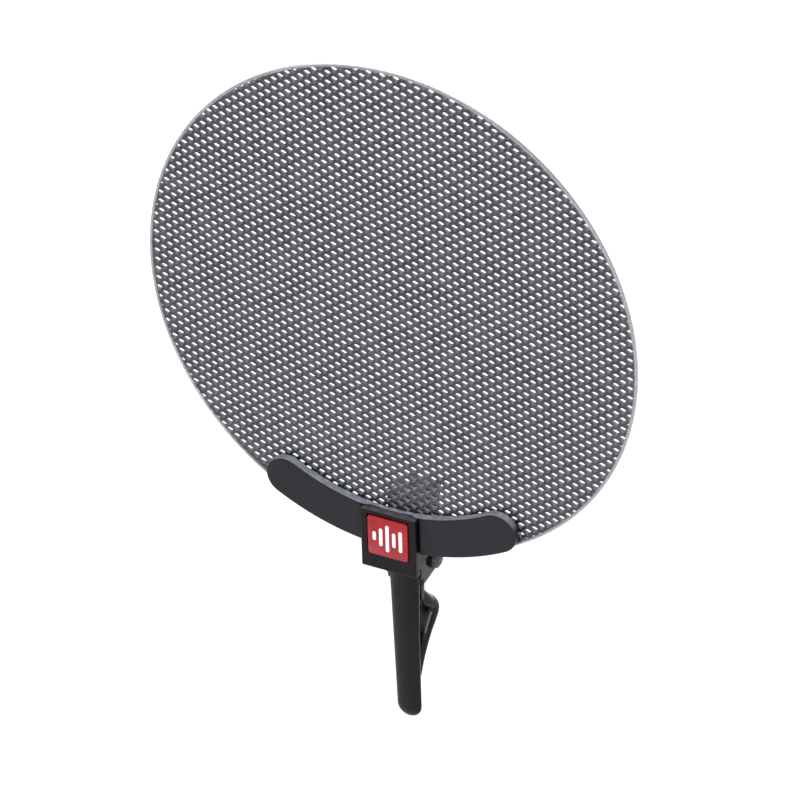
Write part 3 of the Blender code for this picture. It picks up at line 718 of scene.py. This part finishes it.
def recess_cutter(half_x, half_y):
    """One arm of a screw's crossed recess: a tapered slot down from above the head."""
    shape = bmesh.new()
    outline = [(half_x, half_y), (-half_x, half_y), (-half_x, -half_y), (half_x, -half_y)]
    top = [shape.verts.new((x, y, SCREW_HEAD_H * 2)) for x, y in outline]
    floor = [shape.verts.new((x * 0.55, y * 0.8, SCREW_HEAD_H * RECESS_FLOOR)) for x, y in outline]
    shape.faces.new(top)
    shape.faces.new(floor[::-1])
    for i in range(4):
        j = (i + 1) % 4
        shape.faces.new((top[i], floor[i], floor[j], top[j]))
    return loose_object("recess", mesh_from(shape, "recess"))


def make_screw(node, material):
    """A pan-head screw with a crossed recess and thread grooves; it lies along Y, with its head behind."""
    low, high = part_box(node)
    middle = box_middle(node)
    head_r = half_width(node)
    length = high.y - low.y - SCREW_HEAD_H
    profile = [(0.0, SCREW_HEAD_H), (head_r * 0.60, SCREW_HEAD_H), (head_r * 0.94, SCREW_HEAD_H * 0.60),
               (head_r, -SEAM), (SHANK_R, -SEAM)]
    for i in range(int((length - THREAD_FREE) / THREAD_PITCH)):
        top = -SEAM - THREAD_START - i * THREAD_PITCH
        profile += [(SHANK_R, top), (SHANK_R * THREAD_ROOT, top - THREAD_PITCH * 0.5)]
    profile += [(SHANK_R * 0.8, -length + SCREW_TIP), (SHANK_R * 0.3, -length), (0.0, -length)]
    mesh = turned("screw", rounded_profile(profile, SCREW_ROUNDING, 3), SCREW_STEPS)
    screw = loose_object("screw", mesh)
    arm, width = head_r * RECESS_ARM, head_r * RECESS_HALF_W
    for half_x, half_y in ((arm, width), (width, arm)):
        boolean(screw, recess_cutter(half_x, half_y), "DIFFERENCE")
    mesh = take_mesh(screw)
    shade(mesh, SCREW_SHARP_ANGLE)
    head_seat = Matrix.Translation((middle.x, high.y - SCREW_HEAD_H, middle.z))
    mesh.transform(head_seat @ Matrix.Rotation(-math.pi / 2, 4, "X"))
    piece = new_piece(node + "_fine", mesh, FRONT_BODY, "steel", material)
    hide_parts(node)


def make_pin(material):
    """The hinge pin along X, with its domed head on the left."""
    low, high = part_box("pivot_pin")
    head_r = half_width("pivot_pin", "z")
    length = high.x - low.x
    seat = -PIN_HEAD_H - SEAM
    profile = [(0.0, 0.0), (head_r * 0.5, -PIN_HEAD_H * 0.08), (head_r * 0.93, -PIN_HEAD_H * 0.6),
               (head_r, seat), (PIN_R, seat), (PIN_R, -length + PIN_CHAMFER),
               (PIN_R - PIN_CHAMFER, -length), (0.0, -length)]
    mesh = turned("pin", rounded_profile(profile, PIN_ROUNDING), HINGE_STEPS)
    mesh.transform(Matrix.Translation((low.x, HINGE.y, HINGE.z)) @ Matrix.Rotation(-math.pi / 2, 4, "Y"))
    piece = new_piece("hinge_pin", mesh, FRONT_BODY, "dark_steel", material)
    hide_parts("pivot_pin")


def make_cap(material):
    """The push-on cap: domed, with a turned groove round its skirt, and open towards the ear."""
    low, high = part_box("pin_cap")
    cap_r = half_width("pin_cap", "z")
    height = high.x - low.x
    profile = [(0.0, height), (cap_r * 0.55, height * 0.95), (cap_r * 0.90, height * 0.66),
               (cap_r * 0.97, height * 0.40), (cap_r * 0.93, height * 0.34), (cap_r, height * 0.26),
               (cap_r, -SEAM), (CAP_BORE_R, -SEAM), (CAP_BORE_R, CAP_BORE_DEPTH), (0.0, CAP_BORE_DEPTH)]
    mesh = turned("cap", rounded_profile(profile, CAP_ROUNDING), HINGE_STEPS)
    mesh.transform(Matrix.Translation((low.x, HINGE.y, HINGE.z)) @ Matrix.Rotation(math.pi / 2, 4, "Y"))
    piece = new_piece("hinge_pin_cap", mesh, FRONT_BODY, "dark_steel", material)
    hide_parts("pin_cap")


def make_spring(material):
    """The spring, with smoother coils than the CAD's and its legs a little nearer to the levers.
    """
    low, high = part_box("torsion_spring")
    coil_r = high.y - HINGE.y - SPRING_WIRE_R
    half = half_width("torsion_spring") - SPRING_WIRE_R
    leg = HINGE.z - low.z

    def leg_points(x, y):
        """The leg's middle, which lies between the coil and the leg's tip, and the tip."""
        return [Vector((x, (y - coil_r) / 2, HINGE.z - leg / 2)), Vector((x, y, HINGE.z - leg))]

    points = leg_points(-half, FRONT_LEG_Y)[::-1]
    count = SPRING_STEPS * SPRING_TURNS
    for i in range(count + 1):
        turn = math.pi + 2 * math.pi * i / SPRING_STEPS
        x = -half + 2 * half * i / count
        points.append(Vector((x, HINGE.y + coil_r * math.cos(turn), HINGE.z - coil_r * math.sin(turn))))
    points += leg_points(half, REAR_LEG_Y)
    curve = bpy.data.curves.new("spring", "CURVE")
    curve.dimensions = "3D"
    curve.bevel_depth = SPRING_WIRE_R
    curve.bevel_resolution = 4
    curve.use_fill_caps = True
    spline = curve.splines.new("POLY")
    spline.points.add(len(points) - 1)
    for point, place in zip(spline.points, points):
        point.co = (*place, 1.0)
    wire = loose_object("spring_wire", curve)
    bpy.context.view_layer.update()
    shape = bmesh.new()
    shape.from_mesh(wire.evaluated_get(bpy.context.evaluated_depsgraph_get()).to_mesh())
    bpy.data.objects.remove(wire, do_unlink=True)
    bmesh.ops.remove_doubles(shape, verts=shape.verts, dist=MERGE_DIST)
    spring = loose_object("hinge_spring", mesh_from(shape, "hinge_spring"))
    spring.data.materials.append(material)
    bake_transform(spring)
    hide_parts("torsion_spring")


# ---------------------------------------------------------------- camera, floor and light

def make_camera():
    camera = loose_object("camera", bpy.data.cameras.new("camera"))
    camera.data.sensor_width = SENSOR_MM
    camera.data.lens = CAMERA_LENS_MM
    camera.data.clip_start = 0.01
    look = (CAMERA_AIM - CAMERA_PLACE).to_track_quat("-Z", "Y").to_matrix().to_4x4()
    roll = Matrix.Rotation(-CAMERA_ROLL, 4, "Z")
    camera.matrix_world = Matrix.Translation(CAMERA_PLACE) @ look @ roll
    bpy.context.scene.camera = camera
    bpy.context.scene.view_settings.view_transform = "Standard"


def make_floor():
    """A pale floor a little below the clip, which hangs free of it."""
    shape = bmesh.new()
    bmesh.ops.create_grid(shape, x_segments=8, y_segments=8, size=FLOOR_HALF)
    floor = loose_object("floor", mesh_from(shape, "floor"))
    floor.location.z = CAD_BOX[0][2] - FLOOR_DROP
    material, tree, shader = new_material("floor_paper")
    mottle = noise(tree, surface_point(tree), scale=6.0, detail=2.0)
    tone = two_tone(tree, mottle, (0.84, 0.84, 0.845), (0.86, 0.86, 0.865))
    tree.links.new(tone, shader.inputs["Base Color"])
    shader.inputs["Roughness"].default_value = 1.0
    shader.inputs["Specular IOR Level"].default_value = 0.0
    floor.data.materials.append(material)


def make_light():
    for name, place, size, power, tint in SOFTBOXES:
        light = bpy.data.lights.new(name, "AREA")
        light.shape = "RECTANGLE"
        light.size, light.size_y = size
        light.energy = power
        light.color = tint
        lamp = loose_object(name, light)
        lamp.location = place
        lamp.rotation_euler = (LIGHT_AIM - Vector(place)).to_track_quat("-Z", "Y").to_euler()
    world = bpy.data.worlds.new("studio")
    world.use_nodes = True
    sky = world.node_tree.nodes["Background"]
    sky.inputs["Color"].default_value = SKY_COLOUR
    sky.inputs["Strength"].default_value = SKY_STRENGTH
    bpy.context.scene.world = world


# ---------------------------------------------------------------- build

def main():
    make_camera()
    make_floor()
    make_light()

    make_screen(coated_steel())
    make_moulded_pieces()
    make_badge(enamel("badge_red_enamel", (0.27, 0.001, 0.007), (0.36, 0.003, 0.012), (0.18, 0.30)),
               enamel("emblem_pale_enamel", (0.78, 0.76, 0.76), (0.86, 0.85, 0.85), (0.20, 0.32)))

    steel = machined_metal("steel_turned", (0.36, 0.36, 0.38), (0.50, 0.50, 0.51), (0.22, 0.38), "Y")
    for node in ("bar_screw_1", "bar_screw_2", "bar_screw_3", "bar_screw_4",
                 "neck_screw_left", "neck_screw_right"):
        make_screw(node, steel)
    black_steel = machined_metal("steel_blackened", (0.030, 0.030, 0.034), (0.060, 0.060, 0.064),
                                 (0.28, 0.45), "X", metallic=0.9)
    make_pin(black_steel)
    make_cap(black_steel)
    make_spring(machined_metal("spring_wire_steel", (0.30, 0.30, 0.31), (0.44, 0.43, 0.42),
                               (0.22, 0.36), "X"))

    brass = machined_metal("brass_turned", (0.55, 0.36, 0.12), (0.70, 0.49, 0.20), (0.25, 0.42), "Y")
    for node in ("neck_insert_left", "neck_insert_right"):
        for slot in NODES[node].material_slots:
            slot.material = brass


main()
